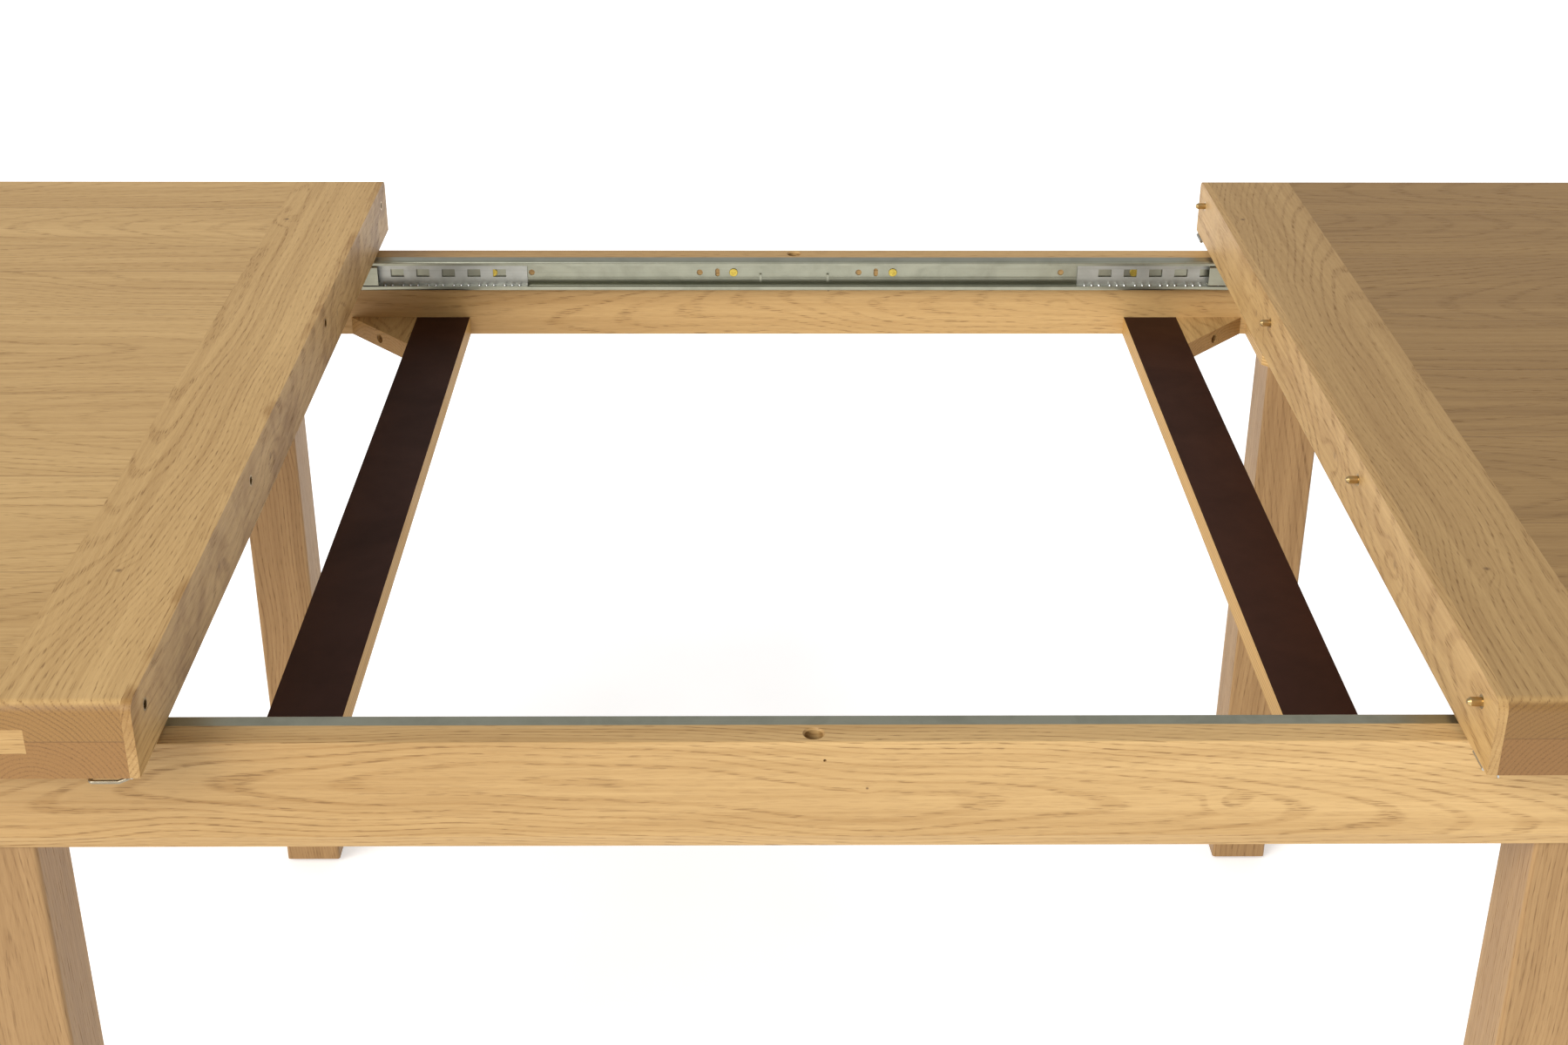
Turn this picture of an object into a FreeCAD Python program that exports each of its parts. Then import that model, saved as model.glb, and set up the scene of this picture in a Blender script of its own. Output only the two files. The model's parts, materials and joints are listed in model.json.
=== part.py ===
import FreeCAD, Part
import math
import os

# Extendable dining table with two sliding half tops, shown pulled open.
# Millimetres. Origin on the floor under the middle of the table, +X to the
# right along the slides, +Y to the rear, +Z up.

os.makedirs("parts", exist_ok=True)
Vector = FreeCAD.Vector
LEFT = -1
RIGHT = 1
FRONT = -1
REAR = 1
HALF_NAMES = {LEFT: "left", RIGHT: "right"}
SIDE_NAMES = {FRONT: "front", REAR: "rear"}

# The table as a whole
CLOSED_LENGTH = 1400.0
DEPTH = 1000.0
HEIGHT = 760.0
HALF_TRAVEL = 413.0
CLOSING_GAP = 0.5

# Half tops
TOP_THICKNESS = 53.0
TOP_ROUNDING = 8.0
LIPPING_WIDTH = 6.5
CROSS_BOARD_JOINT = 87.0
END_BOARD_WIDTH = 80.0
TONGUE_LENGTH = 20.0
TONGUE_HEIGHT = 17.0

# Aprons and end rails
TOP_CLEARANCE = 5.0
APRON_SETBACK = 47.0
APRON_THICKNESS = 20.5
APRON_HEIGHT = 82.0
BEVEL_HEIGHT = 10.0
BEVEL_DEPTH = 3.5
FRAME_CENTRE = -15.5
FRAME_LENGTH = 1109.0
NOTCH_WIDTH = 24.0
NOTCH_BOTTOM = 665.0
PEG_HOLE_RADIUS = 6.0
PEG_HOLE_DEPTH = 45.0
PEG_MOUTH_BEVEL = 1.2
NAIL_X = 7.0
NAIL_RADIUS = 1.0
NAIL_DROP = 14.0
NAIL_DEPTH = 2.5
APRON_ROUNDING = 1.0

# Legs and the plates they bolt to
LEG_SIZE = 58.0
LEG_SETBACK = 6.0
LEG_ROUNDING = 3.0
GLIDE_HEIGHT = 4.0
GLIDE_RADIUS = 14.0
GLIDE_ROUNDING = 1.0
GLIDE_STEM_RADIUS = 3.0
GLIDE_STEM_LENGTH = 12.0
PLATE_THICKNESS = 18.0
PLATE_ALONG_APRON = 60.0
PLATE_ALONG_RAIL = 110.0
PLATE_CORNER_CUT = 30.0
BOLT_OFFSETS = ((13.0, 32.0), (32.0, 13.0))
BOLT_RADIUS = 4.0
BOLT_LENGTH = 60.0
BOLT_HEAD_HEIGHT = 5.3
BOLT_FLATS = 13.0
WASHER_RADIUS = 8.0
WASHER_THICKNESS = 1.6
COUNTERBORE_RADIUS = 9.0
COUNTERBORE_DEPTH = 7.0

# Bearers that carry the stored leaves
BEARER_WIDTH = 53.0
BEARER_CENTRES = {LEFT: -353.0, RIGHT: 360.0}
BEARER_THICKNESS = 18.0
BLOCK_ALONG_APRON = 66.0
BLOCK_ALONG_BEARER = 70.0
POCKET_RADIUS = 4.5
POCKET_DEPTH = 20.0

# Telescopic slides. Depth is counted from the apron's inner face.
SLIDE_THICKNESS = 13.1
SLIDE_HEIGHT = 31.0
SHEET = 1.2
CHANNEL_LENGTH = 1040.0
CHANNEL_DEPTH = 12.5
CHANNEL_LIP_DROP = 3.3
CHANNEL_SCREWS_X = (-480.0, -300.0, -60.5, 98.6, 340.0, 480.0)
CHANNEL_HOLES_X = (-261.7, -94.2, 64.4, 266.6, 299.0)
CHANNEL_SLOTS_X = (-76.5, 81.6)
CHANNEL_HOLE_RADIUS = 3.0
CHANNEL_ROUNDING = 2.4
SLOT_RADIUS = 2.2
SLOT_REACH = 2.0
RIB_OFFSET = 6.5
RIB_HALF_WIDTH = 1.5
RIB_PROUD = 0.5
SHEET_BITE = 0.2
STOP_TAB_HALF_WIDTH = 1.2
STOP_TAB_DEPTH = 3.5
STOP_TAB_HEIGHTS = ((-10.5, -1.5), (4.5, 11.0))
STOP_X = 33.5
RUNNER_LENGTH = 500.0
RUNNER_INSET = 5.3
RUNNER_FLANGE_START = 4.2
CAGE_SHEET = 0.7
CAGE_DEPTH = 2.6
CAGE_ARM_END = 9.0
CAGE_SPAN = 234.0
CAGE_INNER_END = {LEFT: -266.0, RIGHT: 283.0}
BALL_RADIUS = 1.7
BALL_HOLE_RADIUS = 2.05
BALL_DEPTH = 6.4
BALL_PITCH = 7.3
BALL_LIP_GAP = 2.05
GROUP_PITCH = 25.4
GROUP_COUNT = 9
GROUP_START = 15.0
WINDOW_HALF_LENGTH = 6.5
WINDOW_HALF_HEIGHT = 4.0
ANGLE_SHEET = 1.5
ANGLE_LEG = 23.5
ANGLE_START = 20.0
ANGLE_LENGTH = 460.0
ANGLE_ABOVE_SLIDE_FOOT = 9.0
ANGLE_SCREW_FROM_SLIDE = 13.0
ANGLE_SCREW_START = 30.0
ANGLE_SCREW_PITCH = 80.0

# Locating pins and their sockets
PIN_Y = (-471.0, -157.0, 157.0, 471.0)
PIN_BELOW_TOP = 17.6
PIN_RADIUS = 3.0
PIN_REACH = 7.0
PIN_DOME = 2.0
PIN_ROOT_RADIUS = 2.5
PIN_ROOT_LENGTH = 20.0
PIN_COLLAR_RADIUS = 4.8
PIN_COLLAR_THICKNESS = 1.0
BUSH_RADIUS = 4.5
BUSH_BORE = 3.05
BUSH_LENGTH = LIPPING_WIDTH
TIP_HOLE_RADIUS = 3.5
TIP_HOLE_DEPTH = 12.0

# Stops that meet the end rails when the halves are fully open
STOP_Y = 330.0
STOP_LENGTH = 40.0
STOP_WIDTH = 40.0
STOP_HEIGHT = 12.0
STOP_GAP = 0.5

# Catches under the half tops
CATCH_Y = 480.0
CATCH_SHEET = 1.2
WIRE_RADIUS = 1.3
KNUCKLE_FROM_EDGE = 9.0
KNUCKLE_DROP = 3.7
KNUCKLE_RADIUS = 2.8
BAIL_LENGTH = 25.0
BAIL_HALF_WIDTH = 13.7
BAIL_DROP = 3.0
BAIL_CRANK = 7.0
BAIL_CORNER = 2.4
WIRE_CLEARANCE = 0.3
KNUCKLE_HALF_WIDTH = 11.0
CATCH_PLATE_START = 5.6
CATCH_PLATE_END = 29.0
CATCH_PLATE_HALF_WIDTH = 14.0
CATCH_SCREW_FROM_EDGE = 22.0
CATCH_SCREW_OFFSET = 6.0
KEEPER_SETBACK = {FRONT: 2.0, REAR: 0.0}
KEEPER_LIP_LEAD = 0.3
KEEPER_LIP_GAP = 0.3
KEEPER_LIP_RADIUS = 1.5
KEEPER_LIP_HALF_WIDTH = 10.0
HOOK_HALF_WIDTH = 8.0
HOOK_PROFILE = ((9.5, 1.2), (11.0, 1.2), (13.0, 10.0), (11.8, 10.0))

# Screws and rivets: length, shank radius, head radius, head height, countersunk or not
CHANNEL_SCREW = (15.0, 1.9, 4.2, 0.9, False)
BLOCK_SCREW = (44.0, 2.0, 4.0, 2.4, False)
ANGLE_SCREW = (25.0, 2.0, 4.0, 2.2, False)
STOP_SCREW = (35.0, 2.0, 4.0, 2.4, True)
CATCH_SCREW = (14.0, 1.4, 2.8, 1.6, False)
RECESS_ARM = 0.4
RIVET_RADIUS = 2.0
RIVET_HEAD_RADIUS = 3.2
RIVET_HEAD_HEIGHT = 0.9
RIVET_START = 50.0
RIVET_PITCH = 100.0
RIVET_COUNT = 5

# Derived positions
underside = HEIGHT - TOP_THICKNESS
frame_top = underside - TOP_CLEARANCE
frame_bottom = frame_top - APRON_HEIGHT
slide_bottom = frame_top - SLIDE_HEIGHT
slide_centre = frame_top - SLIDE_HEIGHT / 2
edge_x = HALF_TRAVEL + CLOSING_GAP / 2
half_length = CLOSED_LENGTH / 2 - CLOSING_GAP / 2
apron_outer = DEPTH / 2 - APRON_SETBACK
apron_inner = apron_outer - APRON_THICKNESS
pin_z = HEIGHT - PIN_BELOW_TOP
plate_top = frame_bottom + PLATE_THICKNESS


def box(x_range, y_range, z_range):
    """Solid box between two limits on each axis, given in either order."""
    low = [min(pair) for pair in (x_range, y_range, z_range)]
    size = [abs(pair[1] - pair[0]) for pair in (x_range, y_range, z_range)]
    return Part.makeBox(size[0], size[1], size[2], Vector(*low))


def rod(radius, start, end):
    """Round bar from one point to another."""
    start = Vector(*start)
    span = Vector(*end) - start
    return Part.makeCylinder(radius, span.Length, start, span)


def prism(points, sweep):
    """Prism made by sweeping a flat polygon of (x, y, z) points along a vector."""
    corners = [Vector(*point) for point in points]
    corners.append(corners[0])
    return Part.Face(Part.makePolygon(corners)).extrude(sweep)


def edges_at(shape, **where):
    """Edges of a shape whose ends all lie at the stated coordinates."""
    found = []
    for edge in shape.Edges:
        matches = [
            abs(getattr(vertex, axis.upper()) - value) < 0.01
            for vertex in edge.Vertexes
            for axis, value in where.items()
        ]
        if all(matches):
            found.append(edge)
    return found


def cut_all(shape, tools):
    """Cut a list of tool solids out of a shape."""
    return shape.cut(Part.makeCompound(tools)) if tools else shape


def save(name, solids):
    """Write one node, made of one or more separate solids."""
    shapes = solids if isinstance(solids, list) else [solids]
    pieces = [piece for shape in shapes for piece in shape.Solids]
    node = pieces[0] if len(pieces) == 1 else Part.makeCompound(pieces)
    node.exportStep(os.path.join("parts", name + ".step"))


def screw(seat, direction, length, radius, head_radius, head_height, sunk):
    """Screw with its head seated at a point, driven in a direction.

    A raised head has a cross recess, a sunk one is plain.
    """
    shank = rod(radius, (0, 0, 0), (0, 0, length))
    if sunk:
        head = Part.makeCone(head_radius, radius, head_height)
        body = head.fuse(shank).removeSplitter()
    else:
        head = rod(head_radius, (0, 0, -head_height), (0, 0, 0))
        head = head.makeChamfer(head_height / 3, edges_at(head, z=-head_height))
        body = head.fuse(shank).removeSplitter()
        arm = head_radius * 0.55
        recess = (-head_height - 1, -head_height * 0.4)
        for half_x, half_y in ((arm, RECESS_ARM), (RECESS_ARM, arm)):
            body = body.cut(box((-half_x, half_x), (-half_y, half_y), recess))
    turn = FreeCAD.Rotation(Vector(0, 0, 1), Vector(*direction))
    body.Placement = FreeCAD.Placement(Vector(*seat), turn)
    return body


def slide_y(side, depth):
    """Y position at a depth from the inner face of one apron."""
    return side * (apron_inner - depth)


# Frame

frame_left = FRAME_CENTRE - FRAME_LENGTH / 2
frame_right = FRAME_CENTRE + FRAME_LENGTH / 2


def frame_end(half):
    return frame_left if half == LEFT else frame_right


def rail_inner_x(half):
    return frame_end(half) - half * APRON_THICKNESS


def apron(side, fasteners):
    """Long rail along X with a peg hole in its top edge."""
    outer = side * apron_outer
    shape = box((frame_left, frame_right), (outer, side * apron_inner), (frame_bottom, frame_top))
    shape = shape.makeFillet(APRON_ROUNDING, edges_at(shape, y=outer, z=frame_top))
    bevel = prism([(frame_left, outer, frame_bottom), (frame_left, outer, frame_bottom + BEVEL_HEIGHT),
                   (frame_left, outer - side * BEVEL_DEPTH, frame_bottom)], Vector(FRAME_LENGTH, 0, 0))
    middle = side * (apron_outer + apron_inner) / 2
    hole = rod(PEG_HOLE_RADIUS, (0, middle, frame_top - PEG_HOLE_DEPTH), (0, middle, frame_top))
    mouth = Part.makeCone(PEG_HOLE_RADIUS, PEG_HOLE_RADIUS + PEG_MOUTH_BEVEL, PEG_MOUTH_BEVEL,
                          Vector(0, middle, frame_top - PEG_MOUTH_BEVEL))
    nail_hole = rod(NAIL_RADIUS, (NAIL_X, outer, frame_top - NAIL_DROP),
                    (NAIL_X, outer - side * NAIL_DEPTH, frame_top - NAIL_DROP))
    return cut_all(shape, [bevel, hole, mouth, nail_hole] + fasteners)


def end_rail(half):
    """Short rail between the aprons, notched at both ends for the slides."""
    shape = box((frame_end(half), rail_inner_x(half)), (-apron_inner, apron_inner),
                (frame_bottom, frame_top))
    x = frame_end(half)
    bevel = prism([(x, -apron_inner, frame_bottom), (x, -apron_inner, frame_bottom + BEVEL_HEIGHT),
                   (x - half * BEVEL_DEPTH, -apron_inner, frame_bottom)],
                  Vector(0, 2 * apron_inner, 0))
    notches = [bevel]
    for side in (FRONT, REAR):
        inner_end = side * (apron_inner - NOTCH_WIDTH)
        notches.append(box((frame_end(half), rail_inner_x(half)),
                           (side * apron_inner, inner_end), (NOTCH_BOTTOM, frame_top)))
    return cut_all(shape, notches)


def leg_bolt_points(half, side):
    """Centres of the two bolts that hold one leg."""
    return [(rail_inner_x(half) - half * dx, side * (apron_inner - dy))
            for dx, dy in BOLT_OFFSETS]


def leg(half, side):
    """Square leg under one corner of the frame."""
    outer_x = frame_end(half) - half * LEG_SETBACK
    outer_y = side * (apron_outer - LEG_SETBACK)
    shape = box((outer_x, outer_x - half * LEG_SIZE), (outer_y, outer_y - side * LEG_SIZE),
                (GLIDE_HEIGHT, frame_bottom))
    upright = [edge for edge in shape.Edges if edge.BoundBox.ZLength > LEG_SIZE * 2]
    shape = shape.makeFillet(LEG_ROUNDING, upright)
    holes = [rod(BOLT_RADIUS, (x, y, frame_bottom - BOLT_LENGTH), (x, y, frame_bottom))
             for x, y in leg_bolt_points(half, side)]
    foot_x = outer_x - half * LEG_SIZE / 2
    foot_y = outer_y - side * LEG_SIZE / 2
    holes.append(rod(GLIDE_STEM_RADIUS, (foot_x, foot_y, GLIDE_HEIGHT),
                     (foot_x, foot_y, GLIDE_HEIGHT + GLIDE_STEM_LENGTH)))
    return cut_all(shape, holes)


def foot_glide(half, side):
    """Plastic foot with a stem pressed into the leg."""
    x = frame_end(half) - half * (LEG_SETBACK + LEG_SIZE / 2)
    y = side * (apron_outer - LEG_SETBACK - LEG_SIZE / 2)
    disc = rod(GLIDE_RADIUS, (x, y, 0), (x, y, GLIDE_HEIGHT))
    disc = disc.makeFillet(GLIDE_ROUNDING, edges_at(disc, z=0))
    stem = rod(GLIDE_STEM_RADIUS, (x, y, GLIDE_HEIGHT), (x, y, GLIDE_HEIGHT + GLIDE_STEM_LENGTH))
    return disc.fuse(stem).removeSplitter()


def corner_plate(half, side):
    """Five-sided plate glued into a frame corner, with sunk bolt seats."""
    x = rail_inner_x(half)
    y = side * apron_inner
    far_x = x - half * PLATE_ALONG_APRON
    far_y = y - side * PLATE_ALONG_RAIL
    outline = [(x, y), (far_x, y), (far_x, far_y + side * PLATE_CORNER_CUT),
               (far_x + half * PLATE_CORNER_CUT, far_y), (x, far_y)]
    shape = prism([(px, py, frame_bottom) for px, py in outline],
                  Vector(0, 0, PLATE_THICKNESS))
    holes = []
    for px, py in leg_bolt_points(half, side):
        holes.append(rod(BOLT_RADIUS, (px, py, frame_bottom), (px, py, plate_top)))
        holes.append(rod(COUNTERBORE_RADIUS, (px, py, plate_top - COUNTERBORE_DEPTH),
                         (px, py, plate_top)))
    return cut_all(shape, holes)


def leg_bolt(x, y):
    """Hexagon bolt standing in its washer, driven down into the leg."""
    seat = plate_top - COUNTERBORE_DEPTH + WASHER_THICKNESS
    corner = BOLT_FLATS / math.sqrt(3)
    outline = [(x + corner * math.cos(math.radians(60 * turn)),
                y + corner * math.sin(math.radians(60 * turn)), seat) for turn in range(6)]
    head = prism(outline, Vector(0, 0, BOLT_HEAD_HEIGHT))
    shank = rod(BOLT_RADIUS, (x, y, frame_bottom - BOLT_LENGTH), (x, y, seat))
    return head.fuse(shank).removeSplitter()


def leg_washer(x, y):
    seat = plate_top - COUNTERBORE_DEPTH
    disc = rod(WASHER_RADIUS, (x, y, seat), (x, y, seat + WASHER_THICKNESS))
    return disc.cut(rod(BOLT_RADIUS, (x, y, seat), (x, y, seat + WASHER_THICKNESS)))


def bearer_outer_x(half):
    return BEARER_CENTRES[half] + half * BEARER_WIDTH / 2


def bearer(half, fasteners):
    """Flat board along Y between the aprons."""
    inner_x = bearer_outer_x(half) - half * BEARER_WIDTH
    shape = box((bearer_outer_x(half), inner_x), (-apron_inner, apron_inner),
                (frame_bottom, frame_bottom + BEARER_THICKNESS))
    return cut_all(shape, fasteners)


def block_screw(half, side):
    """Screw driven through a glue block towards the corner it fills."""
    x = bearer_outer_x(half)
    y = side * apron_inner
    middle = Vector(x + half * BLOCK_ALONG_APRON / 2, y - side * BLOCK_ALONG_BEARER / 2,
                    frame_bottom + BEARER_THICKNESS / 2)
    inward = Vector(-half, side, 0).normalize()
    seat = middle + inward * POCKET_DEPTH
    return screw(tuple(seat), tuple(inward), *BLOCK_SCREW), middle, inward


def glue_block(half, side):
    """Triangular block beside a bearer, with a pocket for its screw."""
    x = bearer_outer_x(half)
    y = side * apron_inner
    outline = [(x, y, frame_bottom), (x + half * BLOCK_ALONG_APRON, y, frame_bottom),
               (x, y - side * BLOCK_ALONG_BEARER, frame_bottom)]
    shape = prism(outline, Vector(0, 0, BEARER_THICKNESS))
    driven, middle, inward = block_screw(half, side)
    pocket = rod(POCKET_RADIUS, tuple(middle - inward * 30), tuple(middle + inward * POCKET_DEPTH))
    return cut_all(shape, [pocket, driven])


# Telescopic slides

def channel_screw(x, side):
    """Low-headed screw that fixes the channel's web to the apron."""
    return screw((x, slide_y(side, SHEET), slide_centre), (0, side, 0), *CHANNEL_SCREW)


def slide_channel(side, fasteners):
    """Outer member: a lipped channel with ribs, punched holes and stop tabs."""
    ends = (-CHANNEL_LENGTH / 2, CHANNEL_LENGTH / 2)
    shape = box(ends, (slide_y(side, 0), slide_y(side, CHANNEL_DEPTH)), (slide_bottom, frame_top))
    lip_edges = edges_at(shape, y=slide_y(side, CHANNEL_DEPTH), z=frame_top)
    lip_edges += edges_at(shape, y=slide_y(side, CHANNEL_DEPTH), z=slide_bottom)
    shape = shape.makeFillet(CHANNEL_ROUNDING, lip_edges)
    cavity_depths = (slide_y(side, SHEET), slide_y(side, CHANNEL_DEPTH - SHEET))
    cavity = box(ends, cavity_depths, (slide_bottom + SHEET, frame_top - SHEET))
    along = [edge for edge in cavity.Edges if edge.BoundBox.XLength > 1.0]
    cavity = cavity.makeFillet(CHANNEL_ROUNDING - SHEET, along)
    lip = SHEET + CHANNEL_LIP_DROP
    mouth = box(ends, (slide_y(side, SHEET + 2), slide_y(side, SLIDE_THICKNESS)),
                (slide_bottom + lip, frame_top - lip))
    shape = shape.cut(cavity).cut(mouth)
    for offset in (-RIB_OFFSET, RIB_OFFSET):
        rib = box(ends, (slide_y(side, SHEET - SHEET_BITE), slide_y(side, SHEET + RIB_PROUD)),
                  (slide_centre + offset - RIB_HALF_WIDTH, slide_centre + offset + RIB_HALF_WIDTH))
        shape = shape.fuse(rib)
    for x in (-STOP_X, STOP_X):
        for low, high in STOP_TAB_HEIGHTS:
            tab = box((x - STOP_TAB_HALF_WIDTH, x + STOP_TAB_HALF_WIDTH),
                      (slide_y(side, SHEET - SHEET_BITE), slide_y(side, STOP_TAB_DEPTH)),
                      (slide_centre + low, slide_centre + high))
            shape = shape.fuse(tab)
    holes = [rod(CHANNEL_HOLE_RADIUS, (x, slide_y(side, -SHEET), slide_centre),
                 (x, slide_y(side, 3 * SHEET), slide_centre))
             for x in CHANNEL_HOLES_X]
    for x in CHANNEL_SLOTS_X:
        for shift in (-SLOT_REACH, SLOT_REACH):
            z = slide_centre + shift
            holes.append(rod(SLOT_RADIUS, (x, slide_y(side, -SHEET), z),
                             (x, slide_y(side, 3 * SHEET), z)))
        holes.append(box((x - SLOT_RADIUS, x + SLOT_RADIUS),
                         (slide_y(side, -SHEET), slide_y(side, 3 * SHEET)),
                         (slide_centre - SLOT_REACH, slide_centre + SLOT_REACH)))
    return cut_all(shape, holes + fasteners).removeSplitter()


def runner_rivets(half, side):
    """Rivets that join a runner to its hanger angle."""
    rivets = []
    web = SLIDE_THICKNESS - SHEET
    angle_face = SLIDE_THICKNESS + ANGLE_SHEET
    for step in range(RIVET_COUNT):
        x = half * (edge_x + RIVET_START + step * RIVET_PITCH)
        heads = [rod(RIVET_HEAD_RADIUS, (x, slide_y(side, web - RIVET_HEAD_HEIGHT), slide_centre),
                     (x, slide_y(side, web), slide_centre)),
                 rod(RIVET_HEAD_RADIUS, (x, slide_y(side, angle_face), slide_centre),
                     (x, slide_y(side, angle_face + RIVET_HEAD_HEIGHT), slide_centre))]
        shank = rod(RIVET_RADIUS, (x, slide_y(side, web), slide_centre),
                    (x, slide_y(side, angle_face), slide_centre))
        rivets.append(shank.multiFuse(heads).removeSplitter())
    return rivets


def runner(half, side):
    """Inner member: a channel that faces the apron and rides on the balls."""
    start = half * edge_x
    ends = (start, start + half * RUNNER_LENGTH)
    low = slide_bottom + RUNNER_INSET
    high = frame_top - RUNNER_INSET
    inner = slide_y(side, SLIDE_THICKNESS)
    shape = box(ends, (slide_y(side, RUNNER_FLANGE_START), inner), (low, high))
    shape = shape.makeFillet(1.5, edges_at(shape, y=inner, z=low) + edges_at(shape, y=inner, z=high))
    hollow = box(ends, (slide_y(side, 0), slide_y(side, SLIDE_THICKNESS - SHEET)),
                 (low + SHEET, high - SHEET))
    return cut_all(shape.cut(hollow), runner_rivets(half, side))


def hanger_angle(half, side, fasteners):
    """Steel angle that hangs a runner from the underside of a half top."""
    start = half * (edge_x + ANGLE_START)
    ends = (start, start + half * ANGLE_LENGTH)
    inner = SLIDE_THICKNESS
    upright = box(ends, (slide_y(side, inner), slide_y(side, inner + ANGLE_SHEET)),
                  (slide_bottom + ANGLE_ABOVE_SLIDE_FOOT, underside))
    flat = box(ends, (slide_y(side, inner), slide_y(side, inner + ANGLE_LEG)),
               (underside - ANGLE_SHEET, underside))
    shape = upright.fuse(flat).removeSplitter()
    return cut_all(shape, fasteners + runner_rivets(half, side))


def cage_groups(half):
    """X positions of the middle of each group of balls in a cage."""
    start = CAGE_INNER_END[half] + half * GROUP_START
    return [start + half * GROUP_PITCH * step for step in range(GROUP_COUNT)]


def ball_points(half, side):
    """Centres of every ball in one cage, top row and bottom row."""
    reach = SLIDE_HEIGHT / 2 - SHEET - BALL_LIP_GAP
    return [(x + shift * BALL_PITCH, slide_y(side, BALL_DEPTH), slide_centre + row * reach)
            for row in (-1, 1) for x in cage_groups(half) for shift in (-1, 0, 1)]


def ball_cage(half, side):
    """Thin retainer with windows in its web and holes for the balls."""
    inner_end = CAGE_INNER_END[half]
    ends = (inner_end, inner_end + half * CAGE_SPAN)
    reach = SLIDE_HEIGHT / 2 - SHEET - BALL_LIP_GAP + CAGE_SHEET / 2
    web_depths = (slide_y(side, CAGE_DEPTH), slide_y(side, CAGE_DEPTH + CAGE_SHEET))
    shape = box(ends, web_depths, (slide_centre - reach, slide_centre + reach))
    arm_depths = (slide_y(side, CAGE_DEPTH), slide_y(side, CAGE_ARM_END))
    for row in (-1, 1):
        arm = box(ends, arm_depths, (slide_centre + row * reach,
                                     slide_centre + row * (reach - CAGE_SHEET)))
        shape = shape.fuse(arm)
    openings = [rod(BALL_HOLE_RADIUS, (x, y, z - 1), (x, y, z + 1))
                for x, y, z in ball_points(half, side)]
    for x in cage_groups(half)[:-1]:
        middle = x + half * GROUP_PITCH / 2
        openings.append(box((middle - WINDOW_HALF_LENGTH, middle + WINDOW_HALF_LENGTH),
                            (slide_y(side, CAGE_DEPTH - 1), slide_y(side, CAGE_DEPTH + 2)),
                            (slide_centre - WINDOW_HALF_HEIGHT,
                             slide_centre + WINDOW_HALF_HEIGHT)))
    return cut_all(shape.removeSplitter(), openings)


def balls(half, side):
    return [Part.makeSphere(BALL_RADIUS, Vector(*point)) for point in ball_points(half, side)]


# Half tops

def top_blank(half):
    """Half top before it is divided, with its rounded upper edges."""
    inner = half * edge_x
    outer = inner + half * half_length
    shape = box((inner, outer), (-DEPTH / 2, DEPTH / 2), (underside, HEIGHT))
    rounded = edges_at(shape, x=outer, z=HEIGHT)
    for y in (-DEPTH / 2, DEPTH / 2):
        rounded += edges_at(shape, y=y, z=HEIGHT)
        rounded += edges_at(shape, x=outer, y=y)
    return shape.makeFillet(TOP_ROUNDING, rounded)


def slab(half, start, end):
    """Slice of space between two distances from a half top's inner edge."""
    return box((half * (edge_x + start), half * (edge_x + end)), (-DEPTH, DEPTH),
               (underside - 10, HEIGHT + 10))


def tongue(half, start, end):
    """Tongue along the end of the field, at mid thickness."""
    middle = (underside + HEIGHT) / 2
    return box((half * (edge_x + start), half * (edge_x + end)), (-DEPTH / 2, DEPTH / 2),
               (middle - TONGUE_HEIGHT / 2, middle + TONGUE_HEIGHT / 2))


def top_boards(half, fasteners):
    """Field panel, two cross boards and the lipping of one half top."""
    blank = top_blank(half)
    outer_joint = half_length - END_BOARD_WIDTH
    tongues = [tongue(half, CROSS_BOARD_JOINT - TONGUE_LENGTH, CROSS_BOARD_JOINT),
               tongue(half, outer_joint, outer_joint + TONGUE_LENGTH)]
    field = blank.common(slab(half, CROSS_BOARD_JOINT, outer_joint))
    field = field.multiFuse(tongues).removeSplitter()
    cross = blank.common(slab(half, LIPPING_WIDTH, CROSS_BOARD_JOINT)).cut(tongues[0])
    end = blank.common(slab(half, outer_joint, half_length)).cut(tongues[1])
    lipping = blank.common(slab(half, 0, LIPPING_WIDTH))
    boards = {"field_panel": field, "cross_board": cross, "end_board": end, "lipping": lipping}
    return {name: cut_all(board, fasteners) for name, board in boards.items()}


def locating_pin(y):
    """Pin with a narrow root, a sunk collar and a domed tip, on the right half top."""
    shoulder = edge_x - PIN_REACH
    collar_back = edge_x + PIN_COLLAR_THICKNESS
    root = rod(PIN_ROOT_RADIUS, (edge_x + PIN_ROOT_LENGTH, y, pin_z), (collar_back, y, pin_z))
    shank = rod(PIN_RADIUS, (edge_x, y, pin_z), (shoulder, y, pin_z))
    collar = rod(PIN_COLLAR_RADIUS, (edge_x, y, pin_z), (collar_back, y, pin_z))
    dome = Part.makeCone(PIN_RADIUS, PIN_RADIUS / 2, PIN_DOME, Vector(shoulder, y, pin_z),
                         Vector(-1, 0, 0))
    return root.multiFuse([shank, collar, dome]).removeSplitter()


def socket_bush(y):
    """Plain tube let into the inner edge of the left half top."""
    mouth = (-edge_x, y, pin_z)
    bottom = (-edge_x - BUSH_LENGTH, y, pin_z)
    return rod(BUSH_RADIUS, mouth, bottom).cut(rod(BUSH_BORE, mouth, bottom))


def socket_holes(y):
    """Hole that a bush fills, and the narrower one that clears the tip of a pin."""
    mouth = (-edge_x, y, pin_z)
    return [rod(BUSH_RADIUS, mouth, (-edge_x - BUSH_LENGTH, y, pin_z)),
            rod(TIP_HOLE_RADIUS, mouth, (-edge_x - TIP_HOLE_DEPTH, y, pin_z))]


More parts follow.
